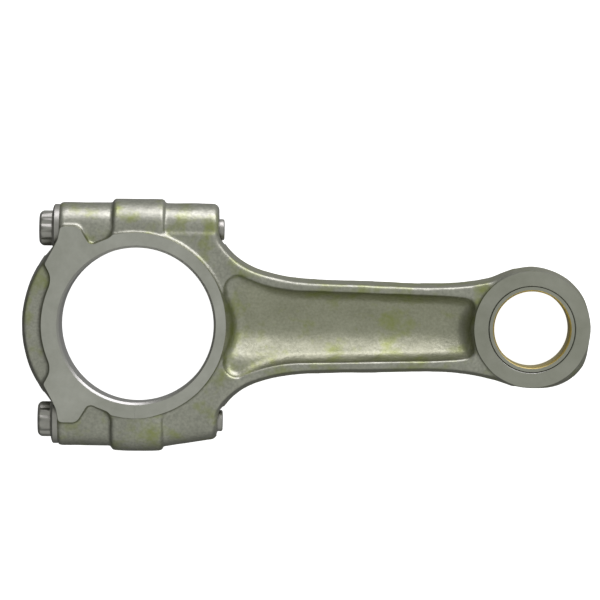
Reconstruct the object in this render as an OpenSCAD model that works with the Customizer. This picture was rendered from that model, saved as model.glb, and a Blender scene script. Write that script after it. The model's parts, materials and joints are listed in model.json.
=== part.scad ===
// Connecting rod for a small four-stroke engine, lying on its side faces.
// Origin: centre of the big-end bore at mid width. +X runs to the small end,
// +Z along the bores. The cap is split from the rod at X = 0.

/* [Rod] */
// Distance between the two bore centres
centre_distance = 120; // [105:1:150]
// Width across the machined side faces of both ends
face_width = 20; // [18:0.5:26]

/* [Big end] */
// Radius of the big-end bore, which holds the bearing shells
big_bore_r = 23.5; // [19:0.5:29]
// Chamfer at both mouths of the big-end bore
big_chamfer = 0.9; // [0.3:0.1:1.5]
// Radial width of the machined ring around the bore
ring_wall = 4.8; // [3.8:0.1:6]
// How far the ring's outer edge is shifted towards the cap
ring_shift = 0.7; // [0:0.1:1.5]
// Radial thickness of the cap behind the bore
cap_wall = 11.8; // [9.8:0.1:14.5]
// How far the cap's forged rim lies below each side face
rim_step = 3.5; // [2:0.1:5]
// Half of the angle that the forged rim spans
rim_angle = 32; // [26:1:36]
// Wall left between the bore and each screw hole
bolt_wall = 1.4; // [1:0.1:2.5]

/* [Screw bosses] */
// Radius of the long screw bosses
boss_r = 8; // [7:0.1:9.5]
// Radius of the raised boss across the joint
joint_boss_r = 9.4; // [8.6:0.1:9.9]
// Half length of the raised boss, on each side of the joint
joint_boss_l = 7.7; // [5:0.1:10]
// How far the raised boss drops between its crown and the ring
joint_boss_drop = 0.4; // [0.2:0.1:1]
// Length of the rod's screw bosses from the joint
rod_boss_l = 24.4; // [20:0.1:30]
// Radius at the outer end of the lower rod boss, which tapers
lower_boss_end_r = 5.9; // [5.2:0.1:8]
// Distance from the joint to the screw seats on the cap
seat_l = 23.7; // [20:0.1:28.5]
// Length of the machined land beside each screw seat
land_l = 6.3; // [4:0.1:9]
// How far that land reaches past the screw's axis
land_over = 1; // [0:0.1:2]
// Depth of the notch beside the land, below the screw's axis
notch_depth = 4.2; // [3:0.1:5.5]
// Length over which the land's edge runs down into the notch
notch_run = 4.4; // [3:0.1:6]

/* [Cap screws] */
// Thread radius of the cap screws
screw_r = 4; // [3.2:0.1:5]
// Length under the head
screw_l = 50; // [46:0.5:62]
// Length of the threaded end
thread_l = 29; // [20:0.5:32]
// Chamfer at the end of the thread
thread_chamfer = 0.8; // [0.4:0.1:1.2]
// Radius of the reduced shank between head and thread
screw_waist_r = 3.6; // [2.8:0.1:3.9]
// Radius of the flange under the head
flange_r = 7.4; // [6.2:0.1:7.8]
// Thickness of that flange
flange_h = 2.2; // [1.5:0.1:3]
// Twelve-point head across flats
head_af = 9.5; // [8:0.1:11]
// Height of the twelve-point head above the flange
head_h = 4.1; // [3:0.1:6]
// Gap around the flange where the cap is cut away for it
seat_gap = 0.4; // [0.2:0.1:0.5]
// Radial clearance of the screws in the cap's holes
cap_hole_clearance = 0.2; // [0.1:0.05:0.5]
// Radial clearance that stands for the thread fit in the rod
thread_clearance = 0.05; // [0.02:0.01:0.1]

/* [Shank] */
// Thickness of the forged shoulders and ribs
forged_t = 15.2; // [13:0.1:15.8]
// Half width of the shank at its big-end root
shank_root_w = 14.4; // [12:0.1:17]
// Half width of the shank next to the eye
shank_tip_w = 13.1; // [11:0.1:15.5]
// Length of the shoulder curve beyond the screw bosses
shoulder_l = 25.6; // [20:0.1:32]
// Radius of the tight part of the shoulder curve
shoulder_r = 20; // [14:0.5:24]
// Radius of the long part of the shoulder curve
root_r = 60; // [45:1:75]
// Angle that the long part turns through
root_turn = 12; // [8:1:15]
// Radius where the shank widens into the eye
neck_r = 65; // [50:1:80]
// Width of each rib beside the pockets
rib_w = 3.3; // [2.4:0.1:4.5]
// Thickness of the web between the two pockets
web_t = 5; // [3:0.1:7]
// Metal left between the pockets and the rings at both ends
pocket_gap = 0.6; // [0.2:0.1:2]

/* [Small end] */
// Radius of the bush's bore, which runs on the gudgeon pin
pin_bore_r = 11.5; // [10:0.1:14]
// Wall of the bush
bush_wall = 1.5; // [1:0.1:2.5]
// Chamfer inside each mouth of the bush
bush_chamfer = 0.4; // [0.2:0.1:0.7]
// Radial width of the machined ring around the bush
eye_ring_wall = 4.6; // [3.8:0.1:6]
// How far the forged eye stands out past that ring
eye_edge = 0.8; // [0.5:0.1:2]
// How far the forged eye lies below each side face
eye_step = 1; // [0.5:0.1:2]
// How far the forged eye is shifted sideways on the bore
eye_shift = 0.5; // [0:0.1:0.8]
// Distance of the balance pad's centre from the bore, along X and along Y
pad_offset = 3; // [2:0.1:4]
// Radius of the balance pad at the far end of the eye
pad_r = 15.2; // [14.5:0.1:16.5]

/* [Hidden] */
$fn = 96;
eps = 0.01;
curve_steps = 8;
// How far a cut runs on past the surface it opens
over = 1;

ring_r = big_bore_r + ring_wall;
cap_r = big_bore_r + cap_wall;
cap_hole_r = screw_r + cap_hole_clearance;
thread_hole_r = screw_r + thread_clearance;
screw_y = big_bore_r + bolt_wall + cap_hole_r;
land_y = screw_y + land_over;
notch_y = screw_y - notch_depth;
land_end_x = -seat_l + land_l;
notch_x = land_end_x + notch_run;

bush_r = pin_bore_r + bush_wall;
eye_ring_r = bush_r + eye_ring_wall;
eye_r = eye_ring_r + eye_edge;
eye_reach = pad_offset + pad_r;

// Edge of the shank: a line that narrows from the shoulder's root to the eye
root_x = rod_boss_l + shoulder_l;
tip_x = centre_distance - eye_r;
taper = atan((shank_root_w - shank_tip_w) / (tip_x - root_x));
edge_along = [cos(taper), -sin(taper)];
edge_out = [sin(taper), cos(taper)];

// Points of an arc about c, from angle a0 to angle a1
function arc(c, r, a0, a1) =
    [for (i = [0:curve_steps]) let (a = a0 + (a1 - a0) * i / curve_steps) c + r * [cos(a), sin(a)]];

function mirrored(points) = [for (i = [len(points) - 1:-1:0]) [points[i][0], -points[i][1]]];

// Upper edge of the shoulder, moved inwards by inset, from the screw boss to
// the shank's straight edge: a tight arc that runs into a long one
function shoulder_edge(inset) =
    let (long_c = [root_x, shank_root_w] + root_r * edge_out)
    let (down = 270 - taper)
    let (turn = down - root_turn)
    let (tight_c = long_c + (root_r - shoulder_r) * [cos(turn), sin(turn)])
    let (start_x = rod_boss_l - pocket_gap)
    let (start = 360 - acos(max(-1, (start_x - tight_c[0]) / shoulder_r)))
    concat(
        arc(tight_c, shoulder_r + inset, start, turn),
        arc(long_c, root_r + inset, turn, down)
    );

// The curve where the shank widens: an arc that touches its edge and the eye
function neck_edge() =
    let (eye = [centre_distance, 0])
    let (across = [root_x, shank_root_w] * edge_out + neck_r)
    let (back = sqrt(pow(eye_r + neck_r, 2) - pow(across - eye * edge_out, 2)))
    let (c = across * edge_out + (eye * edge_along - back) * edge_along)
    arc(c, neck_r, -90 - taper, atan2(-c[1], centre_distance - c[0]));

// The shank seen from above, between the two ends
module shank_outline() {
    upper = concat(shoulder_edge(0), neck_edge());
    polygon(concat(upper, mirrored(upper)));
}

// The space between the ribs, straight-sided up to the eye
module pocket_outline() {
    end_x = centre_distance - eye_ring_r - pocket_gap;
    end_w = shank_root_w - (end_x - root_x) * tan(taper) - rib_w / cos(taper);
    upper = concat(shoulder_edge(rib_w), [[end_x, end_w]]);
    polygon(concat(upper, mirrored(upper)));
}

// A round bar along X from x0 to x1, of radius r0 at x0 and r1 at x1
module bar_x(x0, x1, r0, r1) {
    translate([x0, 0, 0])
        rotate([0, 90, 0])
            cylinder(h = x1 - x0, r1 = r0, r2 = r1);
}

// An outline made solid, with its mid plane at Z = 0
module slab(thickness) {
    translate([0, 0, -thickness / 2])
        linear_extrude(thickness)
            children();
}

// Machined ring around the big-end bore
module ring() {
    translate([-ring_shift, 0, 0])
        cylinder(h = face_width, r = ring_r, center = true);
}

// A bore along Z with a chamfer at both mouths
module chamfered_bore(r, chamfer) {
    cylinder(h = face_width + 2 * over, r = r, center = true);
    for (side = [0, 1])
        mirror([0, 0, side])
            translate([0, 0, face_width / 2 - chamfer])
                cylinder(h = chamfer + eps, r1 = r, r2 = r + chamfer + eps);
}

// Everything on one side of the joint: 1 for the rod, -1 for the cap
module half_space(side) {
    reach = 2 * centre_distance;
    translate([side > 0 ? 0 : -reach, -reach, -reach])
        cube([reach, 2 * reach, 2 * reach]);
}

// The raised boss over the joint, which the rod and the cap share
module joint_boss() {
    for (side = [-1, 1]) {
        translate([0, side * screw_y, 0])
            bar_x(-joint_boss_l, joint_boss_l, joint_boss_r, joint_boss_r);
        translate([0, side * (screw_y + big_bore_r) / 2, 0])
            cube([2 * joint_boss_l, screw_y - big_bore_r, 2 * (joint_boss_r - joint_boss_drop)], center = true);
    }
}

// The rod's screw bosses and the plate that joins them
module shoulders() {
    translate([0, -screw_y, -forged_t / 2])
        cube([rod_boss_l, 2 * screw_y, forged_t]);
    translate([0, screw_y, 0])
        bar_x(0, rod_boss_l, boss_r, boss_r);
    translate([0, -screw_y, 0])
        bar_x(0, rod_boss_l, boss_r, lower_boss_end_r);
}

module pocket() {
    translate([0, 0, web_t / 2])
        linear_extrude(face_width)
            difference() {
                pocket_outline();
                translate([-ring_shift, 0])
                    circle(r = ring_r + pocket_gap);
            }
}

// Small-end eye about its own bore. The balance pad squares off one corner,
// and the eye goes no further than the pad does
module eye() {
    cylinder(h = face_width, r = eye_ring_r, center = true);
    slab(face_width - 2 * eye_step)
        intersection() {
            union() {
                translate([0, eye_shift])
                    circle(r = eye_r);
                translate([pad_offset, -pad_offset])
                    circle(r = pad_r);
            }
            translate([-2 * eye_reach, -eye_reach])
                square(3 * eye_reach);
        }
}

module forged_rod() {
    color("dimgray")
        difference() {
            union() {
                intersection() {
                    half_space(1);
                    union() {
                        ring();
                        joint_boss();
                        shoulders();
                    }
                }
                slab(forged_t)
                    shank_outline();
                translate([centre_distance, 0, 0])
                    eye();
            }
            chamfered_bore(big_bore_r, big_chamfer);
            translate([centre_distance, 0, 0])
                cylinder(h = face_width + 2 * over, r = bush_r, center = true);
            for (side = [-1, 1])
                translate([0, side * screw_y, 0])
                    bar_x(-over, root_x, thread_hole_r, thread_hole_r);
            for (side = [0, 1])
                mirror([0, 0, side])
                    pocket();
        }
}

// Machined land at full width between the cap's rim and the joint boss. It
// reaches out beside the screw's seat, and its edge runs down into a notch
module land() {
    notch_side = [for (i = [0:curve_steps])
        let (share = i / curve_steps)
        let (fall = (1 - cos(180 * share)) / 2)
        [land_end_x + notch_run * share, land_y + (notch_y - land_y) * fall]];
    slab(face_width) {
        intersection() {
            circle(r = cap_r);
            polygon([
                [0, 0],
                2 * cap_r * [-cos(rim_angle), sin(rim_angle)],
                [-seat_l, 2 * cap_r],
                [-seat_l, notch_y],
                [-joint_boss_l, notch_y]
            ]);
        }
        polygon(concat(
            [[notch_x, screw_y - boss_r], [-seat_l, screw_y - boss_r], [-seat_l, land_y]],
            notch_side
        ));
    }
}

module big_end_cap() {
    color("gray")
        difference() {
            intersection() {
                half_space(-1);
                union() {
                    ring();
                    cylinder(h = face_width - 2 * rim_step, r = cap_r, center = true);
                    joint_boss();
                    for (side = [0, 1])
                        mirror([0, side, 0])
                            land();
                    for (side = [-1, 1])
                        translate([0, side * screw_y, 0])
                            bar_x(-seat_l, 0, boss_r, boss_r);
                }
            }
            chamfered_bore(big_bore_r, big_chamfer);
            for (side = [-1, 1])
                translate([0, side * screw_y, 0]) {
                    bar_x(-seat_l - over, over, cap_hole_r, cap_hole_r);
                    bar_x(-seat_l - cap_r, -seat_l, flange_r + seat_gap, flange_r + seat_gap);
                }
        }
}

module small_end_bush() {
    color("darkkhaki")
        translate([centre_distance, 0, 0])
            difference() {
                cylinder(h = face_width, r = bush_r, center = true);
                chamfered_bore(pin_bore_r, bush_chamfer);
            }
}

// A cap screw along +X with its flange seated at X = 0
module cap_screw() {
    color("slategray") {
        bar_x(-flange_h, 0, flange_r, flange_r);
        for (turn = [0, 30])
            translate([-flange_h - head_h, 0, 0])
                rotate([0, 90, 0])
                    rotate([0, 0, turn])
                        cylinder(h = head_h + eps, r = head_af / sqrt(3), $fn = 6);
        bar_x(-eps, screw_l - thread_l + eps, screw_waist_r, screw_waist_r);
        bar_x(screw_l - thread_l, screw_l - thread_chamfer, screw_r, screw_r);
        bar_x(screw_l - thread_chamfer, screw_l, screw_r, screw_r - thread_chamfer);
    }
}

module upper_cap_screw() {
    translate([-seat_l, screw_y, 0])
        cap_screw();
}

module lower_cap_screw() {
    translate([-seat_l, -screw_y, 0])
        cap_screw();
}

forged_rod();
big_end_cap();
small_end_bush();
upper_cap_screw();
lower_cap_screw();
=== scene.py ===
import json
import math

import bmesh
import bpy
import numpy as np
import openvdb
from mathutils import Matrix, Vector


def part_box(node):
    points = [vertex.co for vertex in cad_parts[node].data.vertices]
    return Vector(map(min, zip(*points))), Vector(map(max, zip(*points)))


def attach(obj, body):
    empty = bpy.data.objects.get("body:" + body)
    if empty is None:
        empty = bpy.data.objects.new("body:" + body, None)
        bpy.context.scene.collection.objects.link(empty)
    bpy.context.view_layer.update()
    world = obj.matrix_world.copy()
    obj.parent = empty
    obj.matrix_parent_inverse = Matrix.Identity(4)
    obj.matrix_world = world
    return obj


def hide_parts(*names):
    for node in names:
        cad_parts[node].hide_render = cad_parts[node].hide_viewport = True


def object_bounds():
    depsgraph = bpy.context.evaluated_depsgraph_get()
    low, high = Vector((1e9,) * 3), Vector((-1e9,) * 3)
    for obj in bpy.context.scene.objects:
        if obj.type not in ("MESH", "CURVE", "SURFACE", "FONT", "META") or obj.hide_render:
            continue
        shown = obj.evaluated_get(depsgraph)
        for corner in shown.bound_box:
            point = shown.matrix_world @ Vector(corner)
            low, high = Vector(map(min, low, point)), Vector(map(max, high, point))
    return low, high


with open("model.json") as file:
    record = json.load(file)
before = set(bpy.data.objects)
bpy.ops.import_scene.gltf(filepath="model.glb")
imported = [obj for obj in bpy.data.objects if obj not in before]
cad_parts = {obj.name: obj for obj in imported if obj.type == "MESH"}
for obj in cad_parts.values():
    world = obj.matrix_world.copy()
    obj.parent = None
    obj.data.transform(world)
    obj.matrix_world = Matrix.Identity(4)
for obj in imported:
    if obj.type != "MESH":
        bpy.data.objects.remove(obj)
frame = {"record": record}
cad_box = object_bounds()

# ------------------------------------------------------------- forged blank
# The rod and its cap start as one drop forging of medium-carbon steel. The two
# dies meet at mid width, so each wall leans back from there, every corner is
# rounded, and the trimmed flash leaves a low ridge. Sizes are in millimetres.
MM = 0.001
mounts = {m["name"]: m for m in frame["record"]["mounts"]}
big_bore_r = mounts["big_end_bore"]["dims"]["r_mm"]
pin_bore_r = mounts["small_end_bore"]["dims"]["r_mm"]
centre_x = mounts["small_end_bore"]["pos_m"][0] / MM
face_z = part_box("forged_rod")[1].z / MM
screw_low, screw_high = (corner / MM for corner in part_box("upper_cap_screw"))
screw_y = (screw_low.y + screw_high.y) / 2
seat_x = -23.7

grid = 0.45
allowance = 1.2
xs = np.arange(-38.7, centre_x + 21, grid)
ys = np.arange(-41.4, 41.5, grid)
heights = np.arange(0, face_z + allowance + 3 * grid, grid)
X, Y, H = xs[:, None, None], ys[None, :, None], heights[None, None, :]
plan_x, plan_y = np.meshgrid(xs, ys, indexing="ij")


def arc(centre, radius, start, end, count=24):
    """Points of an arc, with its angles in degrees."""
    a = np.radians(np.linspace(start, end, count))
    return np.stack([centre[0] + radius * np.cos(a), centre[1] + radius * np.sin(a)], 1)


def circle(cx, cy, radius):
    """Distance in plan from a circle, negative inside it."""
    return np.hypot(plan_x - cx, plan_y - cy) - radius


def outline(points):
    """Distance in plan from a closed outline, negative inside it."""
    inside = np.zeros(plan_x.shape, bool)
    nearest = np.full(plan_x.shape, 1e9)
    for (ax, ay), (bx, by) in zip(points, np.roll(points, -1, 0)):
        ex, ey = bx - ax, by - ay
        along = np.clip(((plan_x - ax) * ex + (plan_y - ay) * ey) / max(ex * ex + ey * ey, 1e-12), 0, 1)
        nearest = np.minimum(nearest, (plan_x - ax - along * ex) ** 2 + (plan_y - ay - along * ey) ** 2)
        if ay != by:
            inside ^= ((ay > plan_y) != (by > plan_y)) & (plan_x < ax + (plan_y - ay) * ex / ey)
    return np.where(inside, -1, 1) * np.sqrt(nearest)


def meet(a, b, radius):
    """What two shapes share, with their common edge rounded."""
    corner = np.hypot(np.maximum(a + radius, 0), np.maximum(b + radius, 0))
    return np.minimum(-radius, np.maximum(a, b)) + corner


def join(a, b, radius):
    """Two shapes made one, with a fillet where they meet."""
    corner = np.hypot(np.maximum(radius - a, 0), np.maximum(radius - b, 0))
    return np.maximum(radius, np.minimum(a, b)) - corner


def forged(plan, top, edge, draft=5, level=0):
    """A shape seen in plan made solid up to a height. Its wall leans back by the
    draft angle and lies on the plan at one level, and its top edge is rounded."""
    lean = np.radians(draft)
    wall = (plan[..., None] + (H - level) * np.tan(lean)) * np.cos(lean)
    return meet(wall, H - top, edge)


blank_top = face_z + allowance

# Big end: the ring around the bore, and two lands at full width that carry it
# out to the screw seats. Each land has a horn beside its seat, whose edge
# sweeps down into a notch. The cap's lower rim lies between the lands
flash = 0.15
ring_centre, ring_r = np.array([-0.75, 0]), 28.1
rim_r, rim_top = 35.2, 7.2
land = outline(np.concatenate([
    [[-8.2, 24], [-15, 8], [-24.4, 11.7], [-28.0, 18.2], [-25.2, 23.3], [-24.0, 25.7], [-23.5, 28.3]],
    arc((-22.3, 28.5), 1.2, 170, 90, 5),
    [[-9, 29.7]],
]))
saddle = outline(np.concatenate([
    arc((-19.3, 27.1), 2.6, 90, 28, 9),
    arc((-13.5, 26.2), 1.9, 208, 293, 9),
    [[-8.6, 26.2], [-7.2, 27.4], [-7.2, 45], [-19.3, 45]],
]))
side_face = join(circle(*ring_centre, ring_r), np.minimum(land, land[:, ::-1]), 2.2)
side_face = np.maximum(side_face, -np.minimum(saddle, saddle[:, ::-1]))

# Each end of the rim is trimmed straight, at a slant towards the screw seat
slant_x, slant_y, slant_reach = -0.806, 0.592, 34.9
trimmed = abs(plan_y) * slant_y + plan_x * slant_x - slant_reach
rim = forged(np.maximum(circle(-0.1, 0, rim_r - flash), trimmed), rim_top, 0.5, draft=7)
rim = meet(rim, abs(Y) - 27, 2)
side_face = forged(side_face, blank_top, 0.8, draft=8, level=face_z)
side_face = np.maximum(side_face, np.where(H < rim_top, trimmed[..., None], -9))
blank = join(rim, side_face, 0.9)

# Screw bosses: round bars along both sides. The lower one tapers on the rod's
# side, and a thicker round boss crosses the joint
boss_r, boss_end = 8 - flash, 24.6
joint_boss_r, joint_boss_middle, joint_boss_half = 9.4 - flash, 0.3, 7.9
taper_start, taper = 9, math.radians(9)
beyond = abs(Y) - screw_y
narrowed = boss_r - np.maximum(X - taper_start, 0) * math.tan(taper)
narrowed = np.where((Y < 0) & (beyond > 0), narrowed, boss_r)
bar = (np.hypot(beyond * boss_r / narrowed, H) - boss_r) * narrowed / boss_r
middle = (seat_x - 0.6 + boss_end) / 2
bosses = meet(bar, abs(X - middle) - (boss_end - middle), 1.8)
crown = np.where(Y < 0, 0.4 * ((X - joint_boss_middle) / 8) ** 2 - 0.2, 0.2)
across = abs(plan_x - joint_boss_middle) - joint_boss_half
across = join(circle(*ring_centre, ring_r - 0.7), across, 2.5)
joint_boss = meet(np.hypot(beyond, H) - joint_boss_r + crown, across[..., None], 1.1)
bosses = join(bosses, joint_boss, 0.5)
blank = join(blank, bosses, 1.0)

# Shoulders and shank: the edge leaves each boss on a tight arc, runs into a
# long one, narrows in a straight line and widens again into the eye
forged_top = 8.5
root = np.array([54.0, 14.4])
tip = np.array([centre_x - 18.4, 13.1])
slope = math.atan2(root[1] - tip[1], tip[0] - root[0])
outward = np.array([math.sin(slope), math.cos(slope)])
long_r, tight_r, long_turn = 60, 20, 17
down = 270 - math.degrees(slope)
turn = math.radians(down - long_turn)
tight_centre = root + long_r * outward + (long_r - tight_r) * np.array([math.cos(turn), math.sin(turn)])
shoulder_start = 360 - math.degrees(math.acos((boss_end - 0.5 - tight_centre[0]) / tight_r))
shoulder = np.concatenate([
    arc(tight_centre, tight_r, shoulder_start, down - long_turn),
    arc(root + long_r * outward, long_r, down - long_turn, down),
])


def both_sides(upper):
    """An upper edge and its mirror image below, as one closed outline."""
    return np.concatenate([upper, upper[::-1] * [1, -1]])


neck_r, eye_r = 85, 18.25
neck_y = root @ outward + neck_r
eye_y = centre_x * outward[0]
back = math.sqrt((eye_r + neck_r) ** 2 - (neck_y - eye_y) ** 2)
along = np.array([math.cos(slope), -math.sin(slope)])
neck_centre = neck_y * outward + (centre_x * along[0] - back) * along
neck_end = math.degrees(math.atan2(-neck_centre[1], centre_x - neck_centre[0]))
neck = arc(neck_centre, neck_r, -90 - math.degrees(slope), neck_end)
boss_edge = [[0, screw_y], [boss_end - 0.5, screw_y]]
shank = outline(both_sides(np.concatenate([boss_edge, shoulder, neck])))
shank = forged(shank + flash, forged_top, 1.1, draft=7)
blank = join(blank, shank, 1.3)

# Small end: a rounded eye, whose lower far corner carries a balance pad. The
# ring around its bore stands up to full width
eye = np.minimum(circle(centre_x - 0.1, 0.5, eye_r + 0.1), circle(centre_x + 3.3, -3, 15.1))
eye = meet(eye, plan_x - centre_x - 18.6, 3)
blank = join(blank, forged(eye + flash, 8.8, 2.2, draft=6), 1.6)
pin_ring = circle(centre_x, 0, 17.6)
blank = join(blank, forged(pin_ring, blank_top, 0.8, draft=2.5, level=face_z), 0.6)

# Pockets on both faces leave ribs at the edges and a thin web between them.
# Both rings close them off with walls that lean back further. Each pocket's
# floor falls to its middle in a shallow rounded V and rises towards the eye
web_half = 1.2
pocket_end = centre_x - 17.1
beside_ring, crest_r, corner_r, flare_r = ring_r + 1.0, 4.3, 3.2, 42
flare_end = np.array([50, 11.1])
flare_centre = flare_end + flare_r * outward
gap = flare_centre - ring_centre
gap_length = np.hypot(*gap)
reach = ((beside_ring + crest_r) ** 2 - (flare_r + crest_r) ** 2 + gap_length**2) / (2 * gap_length)
side = math.sqrt((beside_ring + crest_r) ** 2 - reach**2)
crest = ring_centre + (reach * gap + side * gap[::-1] * [1, -1]) / gap_length
to_ring = math.degrees(math.atan2(*(crest - ring_centre)[::-1]))
to_flare = math.degrees(math.atan2(*(flare_centre - crest)[::-1]))
end_half = flare_end[1] - (pocket_end - corner_r - flare_end[0]) * math.tan(slope)
pocket = outline(both_sides(np.concatenate([
    arc(ring_centre, ring_r - 1.5, 0, to_ring),
    arc(crest, crest_r, to_ring + 180, to_flare, 12),
    arc(flare_centre, flare_r, to_flare + 180, 270 - math.degrees(slope)),
    arc((pocket_end - corner_r, end_half - corner_r), corner_r, 90, 0, 10),
])))

# The side walls lean back 7 degrees, and 13 in the corners beside the eye
lean = np.radians(7 + 6 * np.clip((X - 94) / 6, 0, 1))
pocket = (pocket[..., None] + (forged_top - H) * np.tan(lean)) * np.cos(lean)
ring_lean = math.radians(17)
for ring in (circle(*ring_centre, ring_r), pin_ring):
    wall = (ring[..., None] + (H - face_z) * math.tan(ring_lean)) * math.cos(ring_lean)
    pocket = meet(pocket, -wall, 0.9)
pocket_floor = web_half + 0.6 * (np.hypot(Y, 3.2) - 3.2) - np.maximum(abs(Y) - 8.5, 0) ** 2 / 21
pocket_floor = pocket_floor + np.maximum(X - 87, 0) ** 2 / 110
pocket = meet(pocket, (pocket_floor - H) * 0.93, 2.7)
blank = meet(blank, -pocket, 0.3)

# Scale and die wear leave the surface slightly uneven, and the flash was
# trimmed a little proud of the parting line
chance = np.random.default_rng(4)
for wave_length, depth in ((19, 0.025), (8, 0.012), (3.4, 0.007)):
    for _ in range(5):
        direction = chance.normal(size=3)
        direction *= 2 * math.pi / wave_length / np.linalg.norm(direction)
        phase = chance.uniform(0, 2 * math.pi)
        blank += depth * np.sin(direction[0] * X + direction[1] * Y + direction[2] * H + phase)
blank -= flash * np.exp(-((H / 0.8) ** 2))

# The dies meet at mid width, so the other half is the same
field = np.concatenate([blank[:, :, :0:-1], blank], axis=2).astype(np.float32)
volume = openvdb.FloatGrid(1.0)
volume.copyFromArray(field)
points, quads = volume.convertToQuads(0.0)
points = points * grid + [xs[0], ys[0], -heights[-1]]


def linear(colour):
    """An sRGB hex colour as linear RGBA."""
    channels = [int(colour[i:i + 2], 16) / 255 for i in (1, 3, 5)]
    return [c / 12.92 if c <= 0.04045 else ((c + 0.055) / 1.055) ** 2.4 for c in channels] + [1]


def add(tree, kind, inputs=None, **settings):
    """A node with its settings, its values and its links."""
    made = tree.nodes.new(kind)
    for name, value in settings.items():
        setattr(made, name, value)
    for socket, value in (inputs or {}).items():
        if isinstance(value, bpy.types.NodeSocket):
            tree.links.new(value, made.inputs[socket])
        else:
            made.inputs[socket].default_value = value
    return made


def new_material(name):
    """A material with its node tree, its shader and the piece's own coordinates."""
    material = bpy.data.materials.new(name)
    material.use_nodes = True
    tree = material.node_tree
    shader = tree.nodes["Principled BSDF"]
    place = add(tree, "ShaderNodeTexCoord").outputs["Object"]
    return material, tree, shader, place


def per_mm(size):
    """Texture scale at which one feature of a noise spans a size in millimetres."""
    return 1 / (size * MM)


# Shot-blasted forged steel: satin grey with a grainy skin, faint warm mottling,
# and a film of yellow-green preserving oil that gathers in patches. The blasting
# dents are drawn about 1 mm wide, twice their real size, so that they show
forged_steel, tree, shader, place = new_material("forged_steel_shot_blasted")
mottle = add(tree, "ShaderNodeTexNoise", {
    "Vector": place, "Scale": per_mm(11), "Detail": 4.0, "Roughness": 0.6,
})
tone = add(tree, "ShaderNodeMix", {
    0: mottle.outputs["Fac"], 6: linear("#9fa192"), 7: linear("#c2c4b4"),
}, data_type="RGBA")
speck = add(tree, "ShaderNodeTexNoise", {"Vector": place, "Scale": per_mm(0.8), "Detail": 2.0})
speck_share = add(tree, "ShaderNodeMapRange", {
    "Value": speck.outputs["Fac"], "From Min": 0.35, "From Max": 0.7, "To Min": 0.0, "To Max": 0.45,
})
grained = add(tree, "ShaderNodeMix", {
    0: speck_share.outputs["Result"], 6: tone.outputs[2], 7: linear("#83857a"),
}, data_type="RGBA")
puddle = add(tree, "ShaderNodeTexNoise", {
    "Vector": place, "Scale": per_mm(9), "Detail": 3.0, "Roughness": 0.65,
})
oil_share = add(tree, "ShaderNodeMapRange", {
    "Value": puddle.outputs["Fac"], "From Min": 0.5, "From Max": 0.7, "To Min": 0.0, "To Max": 0.75,
})
spot = add(tree, "ShaderNodeSeparateXYZ", {"Vector": place})
depth = add(tree, "ShaderNodeMath", {0: spot.outputs["Z"]}, operation="ABSOLUTE")
sunken = add(tree, "ShaderNodeMapRange", {
    "Value": depth.outputs["Value"], "From Min": 0.008, "From Max": 0.0065, "To Min": 0.0, "To Max": 0.3,
})
pooled = add(tree, "ShaderNodeMapRange", {
    "Value": spot.outputs["X"], "From Min": 0.026, "From Max": 0.034,
})
oil_film_and_painted_shade = add(tree, "ShaderNodeMath", {
    0: sunken.outputs["Result"], 1: pooled.outputs["Result"],
}, operation="MULTIPLY")
filmed = add(tree, "ShaderNodeMix", {
    0: oil_film_and_painted_shade.outputs["Value"], 6: grained.outputs[2], 7: linear("#a8aa7c"),
}, data_type="RGBA")
coloured = add(tree, "ShaderNodeMix", {
    0: oil_share.outputs["Result"], 6: filmed.outputs[2], 7: linear("#96a056"),
}, data_type="RGBA")
tree.links.new(coloured.outputs[2], shader.inputs["Base Color"])
shader.inputs["Metallic"].default_value = 1.0
gloss = add(tree, "ShaderNodeMapRange", {
    "Value": mottle.outputs["Fac"], "From Min": 0.3, "From Max": 0.7, "To Min": 0.42, "To Max": 0.34,
})
tree.links.new(gloss.outputs["Result"], shader.inputs["Roughness"])
grain = add(tree, "ShaderNodeTexNoise", {
    "Vector": place, "Scale": per_mm(0.7), "Detail": 3.0, "Roughness": 0.6,
})
dents = add(tree, "ShaderNodeTexVoronoi", {"Vector": place, "Scale": per_mm(1.3), "Randomness": 1.0})
skin = add(tree, "ShaderNodeMath", {0: grain.outputs["Fac"], 1: dents.outputs["Distance"]}, operation="ADD")
relief = add(tree, "ShaderNodeBump", {
    "Height": skin.outputs["Value"], "Strength": 0.24, "Distance": 0.12 * MM,
})
tree.links.new(relief.outputs["Normal"], shader.inputs["Normal"])


def solid(name, points_mm, faces, *materials):
    """A mesh object made from points in millimetres."""
    mesh = bpy.data.meshes.new(name)
    mesh.from_pydata((np.asarray(points_mm) * MM).tolist(), [], [list(f) for f in faces])
    for material in materials:
        mesh.materials.append(material)
    piece = bpy.data.objects.new(name, mesh)
    bpy.context.scene.collection.objects.link(piece)
    return piece


forging = solid("forging", points, quads[:, ::-1], forged_steel)

# --------------------------------------------------------------- machining
# The blank is ground on both side faces and bored, then split across the bore
# by cracking it, so that the two rough halves fit back in one place only.


def around(sides):
    """The angles of evenly spaced points around a circle."""
    return np.arange(sides) * 2 * math.pi / sides


def turned(name, stations, material, axis="Z", at=(0, 0, 0), closed=False, sides=96):
    """A turned solid from stations of height and radius along its axis. A radius
    may be an array, one value for each side."""
    angles = around(sides)
    rings = []
    for height, radius in stations:
        radius = np.broadcast_to(radius, sides)
        heights_mm = np.full(sides, float(height))
        rings.append(np.stack([radius * np.cos(angles), radius * np.sin(angles), heights_mm], 1))
    points_mm = np.concatenate(rings)
    count = len(stations)
    faces = []
    for i in range(count if closed else count - 1):
        a, b = i * sides, (i + 1) % count * sides
        faces += [(a + k, a + (k + 1) % sides, b + (k + 1) % sides, b + k) for k in range(sides)]
    if not closed:
        faces += [tuple(range(sides))[::-1], tuple(range((count - 1) * sides, count * sides))]
    if axis == "X":
        points_mm = points_mm[:, [2, 0, 1]]
    return solid(name, points_mm + at, faces, material)


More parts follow.
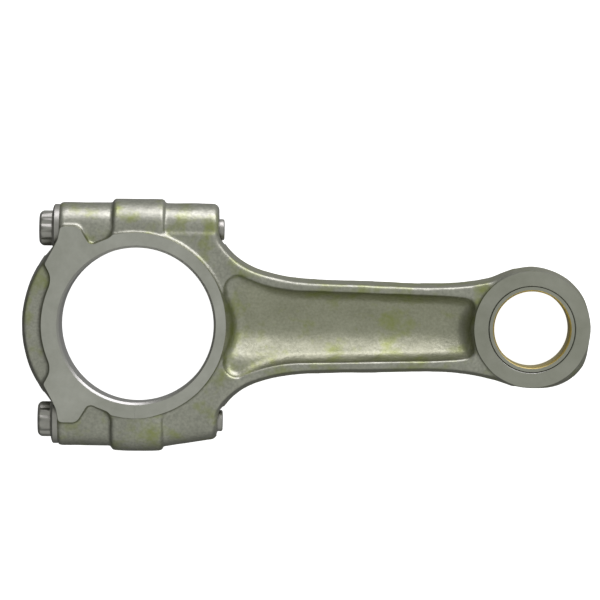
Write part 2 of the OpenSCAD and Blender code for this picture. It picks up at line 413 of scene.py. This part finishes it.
def machine(piece, tool, operation="DIFFERENCE"):
    """Cuts a piece with a tool. The new faces take the tool's material."""
    cut = piece.modifiers.new("cut", "BOOLEAN")
    cut.solver, cut.material_mode = "MANIFOLD", "TRANSFER"
    cut.operation, cut.object = operation, tool
    graph = bpy.context.evaluated_depsgraph_get()
    done = bpy.data.meshes.new_from_object(piece.evaluated_get(graph), depsgraph=graph)
    piece.modifiers.clear()
    piece.data = done
    bpy.data.objects.remove(tool)


# Ground steel: cooler and smoother than the forging, with straight lines from
# the grinding wheel and a few rubbed spots. The real lines are too fine to show
# and are drawn 0.5 mm apart. The faces are painted darker and more olive
# towards the small end: painted shade for the light that falls off there
ground_steel, tree, shader, place = new_material("ground_steel")
stretched = add(tree, "ShaderNodeMapping", {
    "Vector": place, "Rotation": (0, 0, 0.5), "Scale": (0.08, 1, 1),
})
lines = add(tree, "ShaderNodeTexNoise", {
    "Vector": stretched.outputs["Vector"], "Scale": per_mm(0.5), "Detail": 3.0,
})
cloud = add(tree, "ShaderNodeTexNoise", {
    "Vector": place, "Scale": per_mm(14), "Detail": 6.0, "Roughness": 0.75,
})
tone = add(tree, "ShaderNodeMix", {
    0: cloud.outputs["Fac"], 6: linear("#96998a"), 7: linear("#d6d8cd"),
}, data_type="RGBA")
spot = add(tree, "ShaderNodeSeparateXYZ", {"Vector": place})
# Painted shade: the faces turn darker and more olive towards the small end, where the light falls off
painted_shade_share = add(tree, "ShaderNodeMapRange", {
    "Value": spot.outputs["X"], "From Min": 0.03, "From Max": 0.1, "To Min": 0.0, "To Max": 0.35,
})
oil_film_and_painted_shade = add(tree, "ShaderNodeMix", {
    0: painted_shade_share.outputs["Result"], 6: tone.outputs[2], 7: linear("#7e8168"),
}, data_type="RGBA")
tree.links.new(oil_film_and_painted_shade.outputs[2], shader.inputs["Base Color"])
shader.inputs["Metallic"].default_value = 1.0
shader.inputs["Roughness"].default_value = 0.42
relief = add(tree, "ShaderNodeBump", {
    "Height": lines.outputs["Fac"], "Strength": 0.25, "Distance": 0.03 * MM,
})
tree.links.new(relief.outputs["Normal"], shader.inputs["Normal"])

# Bored steel: a soft sheen with turning rings around the bore. The real rings
# are too fine to show and are drawn 0.5 mm apart
bored_steel, tree, shader, place = new_material("bored_steel")
stretched = add(tree, "ShaderNodeMapping", {"Vector": place, "Scale": (0.05, 0.05, 1)})
lines = add(tree, "ShaderNodeTexNoise", {
    "Vector": stretched.outputs["Vector"], "Scale": per_mm(0.5), "Detail": 3.0,
})
shader.inputs["Base Color"].default_value = linear("#bfc0b8")
shader.inputs["Metallic"].default_value = 1.0
shader.inputs["Roughness"].default_value = 0.3
relief = add(tree, "ShaderNodeBump", {
    "Height": lines.outputs["Fac"], "Strength": 0.3, "Distance": 0.03 * MM,
})
tree.links.new(relief.outputs["Normal"], shader.inputs["Normal"])

# Cracked steel: a coarse, sparkling grain on the two joint faces. The real
# crystals are too fine to show and are drawn 0.5 mm wide
cracked_steel, tree, shader, place = new_material("cracked_steel")
crystals = add(tree, "ShaderNodeTexVoronoi", {"Vector": place, "Scale": per_mm(0.5)})
shader.inputs["Base Color"].default_value = linear("#a5a6a3")
shader.inputs["Metallic"].default_value = 1.0
shader.inputs["Roughness"].default_value = 0.55
relief = add(tree, "ShaderNodeBump", {
    "Height": crystals.outputs["Distance"], "Strength": 0.8, "Distance": 0.3 * MM,
})
tree.links.new(relief.outputs["Normal"], shader.inputs["Normal"])

big_chamfer = 0.7
for turn in (1, -1):
    slab = [(x, y, z) for z in (0, 9) for x, y in ((-60, -60), (200, -60), (200, 60), (-60, 60))]
    slab = np.array(slab) * [1, 1, turn] + [0, 0, turn * face_z]
    faces = [(0, 3, 2, 1), (4, 5, 6, 7), (0, 1, 5, 4), (1, 2, 6, 5), (2, 3, 7, 6), (3, 0, 4, 7)]
    machine(forging, solid("grinder", slab, [f[::turn] for f in faces], ground_steel))


def bore(x, radius, chamfer):
    """A bore through both side faces, chamfered at each mouth."""
    mouth = face_z - chamfer
    machine(forging, turned("reamer", [
        (-face_z - 1, radius + chamfer + 1), (-mouth, radius),
        (mouth, radius), (face_z + 1, radius + chamfer + 1),
    ], bored_steel, at=(x, 0, 0)))


bore(0, big_bore_r, big_chamfer)
bush_r = 13.15
bore(centre_x, bush_r, 0.2)

# The crack runs straight through both sides of the bore. Its two faces are one
# rough sheet, 0.02 mm apart in the fitted pair
crack_y, crack_z = np.meshgrid(np.arange(-42, 42.1, 0.4), np.arange(-12, 12.1, 0.4), indexing="ij")
crack_x = np.zeros(crack_y.shape)
for wave_length, depth in ((9, 0.1), (3.5, 0.08), (1.4, 0.06)):
    for _ in range(6):
        heading = chance.uniform(0, 2 * math.pi)
        wave = 2 * math.pi / wave_length
        phase = chance.uniform(0, 2 * math.pi)
        along_wave = crack_y * math.cos(heading) + crack_z * math.sin(heading)
        crack_x += depth / 2 * np.sin(wave * along_wave + phase)
rows, columns = crack_y.shape


def crack_tool(shift):
    """Everything on the cap's side of the crack."""
    front = np.stack([crack_x + shift, crack_y, crack_z], -1).reshape(-1, 3)
    rear = front * [0, 1, 1] + [-60, 0, 0]
    index = np.arange(rows * columns).reshape(rows, columns)
    cells = np.stack([index[:-1, :-1], index[1:, :-1], index[1:, 1:], index[:-1, 1:]], -1).reshape(-1, 4)
    edge = np.concatenate([index[:-1, 0], index[-1, :-1], index[:0:-1, -1], index[0, :0:-1]])
    skirt = [(a + rows * columns, b + rows * columns, b, a) for a, b in zip(edge, np.roll(edge, -1))]
    faces = cells.tolist() + (cells[:, ::-1] + rows * columns).tolist() + skirt
    return solid("crack", np.concatenate([front, rear]), faces, cracked_steel)


cap = forging.copy()
cap.data = forging.data.copy()
cap.name = "big_end_cap_forging"
bpy.context.scene.collection.objects.link(cap)
machine(cap, crack_tool(-0.01), "INTERSECT")
rod = forging
rod.name = "connecting_rod_forging"
machine(rod, crack_tool(0.01))

# Each screw hole runs through the cap with clearance, from a flat seat cut for
# the flange, and is tapped M8 in the rod
thread_r, pitch, thread_depth = 4.0, 1.25, 0.62
screw_end = screw_high.x


def thread(first, last, crest, angles, runout=1.2):
    """Stations of an M8 thread between two heights, fading out at both ends."""
    stations = []
    for x in np.arange(first, last + 0.01, pitch / 10):
        phase = (x / pitch - angles / (2 * math.pi)) % 1
        groove = np.clip(1.35 - 3.1 * abs(phase - 0.5), 0, 1)
        fade = min(1, (x - first) / runout, (last - x) / 0.8)
        stations.append((x, crest - thread_depth * (1 - groove) * max(fade, 0)))
    return stations


hole_angles = around(96)
for turn in (1, -1):
    machine(cap, turned("spot_facer", [
        (-45, 8.4), (seat_x, 8.4), (seat_x, 4.2), (-0.8, 4.2), (2, 7.0),
    ], bored_steel, "X", (0, turn * screw_y, 0)))
    machine(rod, turned("tap", [(-2, 7.0), (0.9, 4.1)] + thread(1.0, 23.6, 4.05, hole_angles) + [
        (23.9, 4.05), (24.4, 4.5), (26.6, 4.5),
    ], bored_steel, "X", (0, turn * screw_y, 0)))


def finish_edges(piece, angle=32, forged_kinds=frozenset([0])):
    """Machined edges sharper than an angle stay crisp, and forged ones smooth."""
    work = bmesh.new()
    work.from_mesh(piece.data)
    for edge in work.edges:
        faces = edge.link_faces
        kinds = {f.material_index for f in faces}
        turned_away = len(faces) == 2 and edge.calc_face_angle() > math.radians(angle)
        edge.smooth = not (len(kinds) > 1 or (turned_away and kinds != forged_kinds))
    for face in work.faces:
        face.smooth = True
    work.to_mesh(piece.data)
    work.free()


for piece, body, node in ((rod, "rod", "forged_rod"), (cap, "cap", "big_end_cap")):
    finish_edges(piece)
    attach(piece, body)
    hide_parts(node)

# --------------------------------------------------------- small-end bush
# A thin wrapped bush: a steel back lined with bronze, pressed into the eye and
# ground flush with it, then bored to the pin's size and chamfered.

# Leaded bronze, bored: a warm yellow whose shine is softened by turning rings,
# drawn coarser than the real ones so that they show
bearing_bronze, tree, shader, place = new_material("leaded_bronze_bored")
stretched = add(tree, "ShaderNodeMapping", {"Vector": place, "Scale": (0.05, 0.05, 1)})
lines = add(tree, "ShaderNodeTexNoise", {
    "Vector": stretched.outputs["Vector"], "Scale": per_mm(0.5), "Detail": 3.0,
})
tone = add(tree, "ShaderNodeMix", {
    0: lines.outputs["Fac"], 6: linear("#d6c77c"), 7: linear("#ede0a6"),
}, data_type="RGBA")
tree.links.new(tone.outputs[2], shader.inputs["Base Color"])
shader.inputs["Metallic"].default_value = 1.0
shader.inputs["Roughness"].default_value = 0.45
relief = add(tree, "ShaderNodeBump", {
    "Height": lines.outputs["Fac"], "Strength": 0.3, "Distance": 0.02 * MM,
})
tree.links.new(relief.outputs["Normal"], shader.inputs["Normal"])

outer_edge_r, lining_r, bush_face = 12.9, 11.95, face_z - 0.02
bush = turned("small_end_bush_wrapped", [
    (-bush_face, outer_edge_r), (0.5 - bush_face, bush_r),
    (bush_face - 0.5, bush_r), (bush_face, outer_edge_r),
    (bush_face, lining_r), (bush_face - 0.45, pin_bore_r),
    (0.45 - bush_face, pin_bore_r), (-bush_face, lining_r),
], bearing_bronze, at=(centre_x, 0, 0), closed=True)
bush.data.materials.append(ground_steel)
for face in bush.data.polygons:
    corners = [bush.data.vertices[i].co for i in face.vertices]
    middle_r = np.mean([math.hypot(corner.x - centre_x * MM, corner.y) for corner in corners])
    face.material_index = int(middle_r > lining_r * MM)
finish_edges(bush)
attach(bush, "rod")
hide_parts("small_end_bush")

# ------------------------------------------------------------- cap screws
# Two M8 twelve-point flange screws, cold headed and rolled from alloy steel.
# The shank is waisted, so that it stretches, and the skin is phosphated.

# Phosphated steel: neutral grey and half matt, with a fine crystal grain drawn
# 0.3 mm wide, coarser than the real one, so that it shows
phosphated_steel, tree, shader, place = new_material("phosphated_screw_steel")
cloud = add(tree, "ShaderNodeTexNoise", {"Vector": place, "Scale": per_mm(2.5), "Detail": 4.0})
tone = add(tree, "ShaderNodeMix", {
    0: cloud.outputs["Fac"], 6: linear("#989890"), 7: linear("#bdbdb4"),
}, data_type="RGBA")
tree.links.new(tone.outputs[2], shader.inputs["Base Color"])
shader.inputs["Metallic"].default_value = 1.0
shader.inputs["Roughness"].default_value = 0.38
crystals = add(tree, "ShaderNodeTexNoise", {"Vector": place, "Scale": per_mm(0.3), "Detail": 2.0})
relief = add(tree, "ShaderNodeBump", {
    "Height": crystals.outputs["Fac"], "Strength": 0.3, "Distance": 0.03 * MM,
})
tree.links.new(relief.outputs["Normal"], shader.inputs["Normal"])

screw_sides = 120
angles = around(screw_sides)
head_top = screw_low.x
across_flats, flange_r, flange_h = 9.5, 7.4, 2.2


def hexagon(turn):
    """Radius of a hexagon at each angle, turned about its centre."""
    return across_flats / 2 / np.cos((angles + turn) % (math.pi / 3) - math.pi / 6)


points_r = np.maximum(hexagon(0), hexagon(math.pi / 6))
points_r = np.minimum(points_r, across_flats / math.sqrt(3) - 0.12)
flange_x = seat_x - flange_h
cone_start, rim_start = seat_x - 1.9, seat_x - 1.6
stations = [
    # the dished top of the head and its rounded edge
    (head_top + 0.9, 0.01), (head_top + 0.9, 1.9), (head_top + 0.5, 2.3), (head_top, 2.7), (head_top, 4.25),
    (head_top + 0.25, np.minimum(points_r, 4.7)), (head_top + 0.75, np.minimum(points_r, 5.15)),
    # the twelve points down to the flange
    (head_top + 1.3, points_r), (flange_x - 0.3, points_r),
    (flange_x - 0.05, np.maximum(points_r, 5.2) + 0.15), (flange_x, 6.3), (flange_x + 0.1, 6.6),
    # the flange's cone and rim
    (cone_start, 7.1), (rim_start, flange_r), (seat_x - 0.15, flange_r), (seat_x, 7.25), (seat_x, 4.5),
    # the fillet under the flange, the fitted length and the waist
    (seat_x + 0.25, 4.1), (seat_x + 0.8, 3.9), (seat_x + 2.2, 3.9), (seat_x + 3, 3.6),
    (screw_end - 30, 3.6), (screw_end - 29.2, 3.5),
]
stations += [
    (x, np.minimum(radius, thread_r - 0.05))
    for x, radius in thread(screw_end - 29, screw_end - 1.7, thread_r, angles, runout=2.0)
]
stations += [
    (screw_end - 1.5, 3.25), (screw_end - 0.5, 3.25), (screw_end - 0.2, 3.13), (screw_end - 0.05, 2.9),
    (screw_end, 2.6), (screw_end, 0.01),
]
for turn, side in ((1, "upper"), (-1, "lower")):
    screw = turned(
        f"{side}_cap_screw_M8", stations, phosphated_steel, "X", (0, turn * screw_y, 0), sides=screw_sides,
    )
    finish_edges(screw, angle=26, forged_kinds=frozenset())
    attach(screw, f"{side}_screw")
    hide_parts(f"{side}_cap_screw")

# ------------------------------------------------------------------ studio
# The rod lies on its side face on white paper, below a long lens. Pale walls
# light it from all round, darker towards -X and below, and one broad soft lamp
# stands beyond its upper edge.
cam = bpy.data.cameras.new("camera")
cam.lens = 296
cam.clip_end = 10
camera = bpy.data.objects.new("camera", cam)
bpy.context.scene.collection.objects.link(camera)
eye_at = Vector((64.5, 46.8, 1503)) * MM
look_at = Vector((49.6, 8.2, 10)) * MM
forward = (look_at - eye_at).normalized()
roll = math.radians(0.614)
right = Vector((math.cos(roll), math.sin(roll), 0))
right = (right - forward * right.dot(forward)).normalized()
up = right.cross(forward)
camera.matrix_world = Matrix.Translation(eye_at) @ Matrix((right, up, -forward)).transposed().to_4x4()
bpy.context.scene.camera = camera

world = bpy.data.worlds.new("studio_walls")
bpy.context.scene.world = world
world.use_nodes = True
tree = world.node_tree
surround = tree.nodes["Background"]
direction = add(tree, "ShaderNodeTexCoord").outputs["Generated"]
heading = add(tree, "ShaderNodeSeparateXYZ", {"Vector": direction})
key_side = math.radians(65)
toward = add(tree, "ShaderNodeVectorMath", {
    0: direction, 1: (math.cos(key_side), math.sin(key_side), 0),
}, operation="DOT_PRODUCT")
bench = add(tree, "ShaderNodeMapRange", {
    "Value": toward.outputs["Value"], "From Min": -0.2, "From Max": 0.8, "To Min": 0.12, "To Max": 0.5,
})
above = add(tree, "ShaderNodeMapRange", {
    "Value": heading.outputs["Z"], "From Min": -0.8, "From Max": 0.4,
})
walls = add(tree, "ShaderNodeMix", {
    0: above.outputs["Result"], 2: bench.outputs["Result"], 3: 0.6,
})
shaded = add(tree, "ShaderNodeMapRange", {
    "Value": heading.outputs["X"], "From Min": -1.0, "From Max": 0.0, "To Min": 0.3, "To Max": 1.0,
})
level = add(tree, "ShaderNodeMath", {0: walls.outputs[0], 1: shaded.outputs["Result"]}, operation="MULTIPLY")
tree.links.new(level.outputs["Value"], surround.inputs["Strength"])
surround.inputs["Color"].default_value = (1, 1, 1, 1)
bpy.context.scene.view_settings.view_transform = "Standard"

target = Vector((50, 0, 0)) * MM


def softbox(name, azimuth, elevation, distance, width, height, power):
    """A soft rectangular lamp aimed at the rod."""
    lamp = bpy.data.lights.new(name, "AREA")
    lamp.shape, lamp.size, lamp.size_y, lamp.energy = "RECTANGLE", width, height, power
    lamp.color = (1.0, 0.95, 1.07)
    stand = bpy.data.objects.new(name, lamp)
    a, e = math.radians(azimuth), math.radians(elevation)
    away = Vector((math.cos(a) * math.cos(e), math.sin(a) * math.cos(e), math.sin(e)))
    stand.location = target + distance * away
    stand.rotation_euler = (target - stand.location).to_track_quat("-Z", "Y").to_euler()
    bpy.context.scene.collection.objects.link(stand)


softbox("window_softbox", 72, 19, 1.3, 1.4, 0.85, 10)

floor_z = cad_box[0].z - 0.5 * MM
paper = bpy.data.meshes.new("paper_sweep")
corners = [(-3, -3, floor_z), (3, -3, floor_z), (3, 3, floor_z), (-3, 3, floor_z)]
paper.from_pydata(corners, [], [(0, 1, 2, 3)])
sweep = bpy.data.objects.new("paper_sweep", paper)
bpy.context.scene.collection.objects.link(sweep)

# White paper, lit from behind so that it stays even up to its edges
white_paper, tree, shader, place = new_material("white_paper_backlit")
shader.inputs["Base Color"].default_value = linear("#f4f4f2")
shader.inputs["Roughness"].default_value = 0.9
shader.inputs["Emission Color"].default_value = (1, 1, 1, 1)
shader.inputs["Emission Strength"].default_value = 0.9
paper.materials.append(white_paper)
sweep.visible_glossy = False
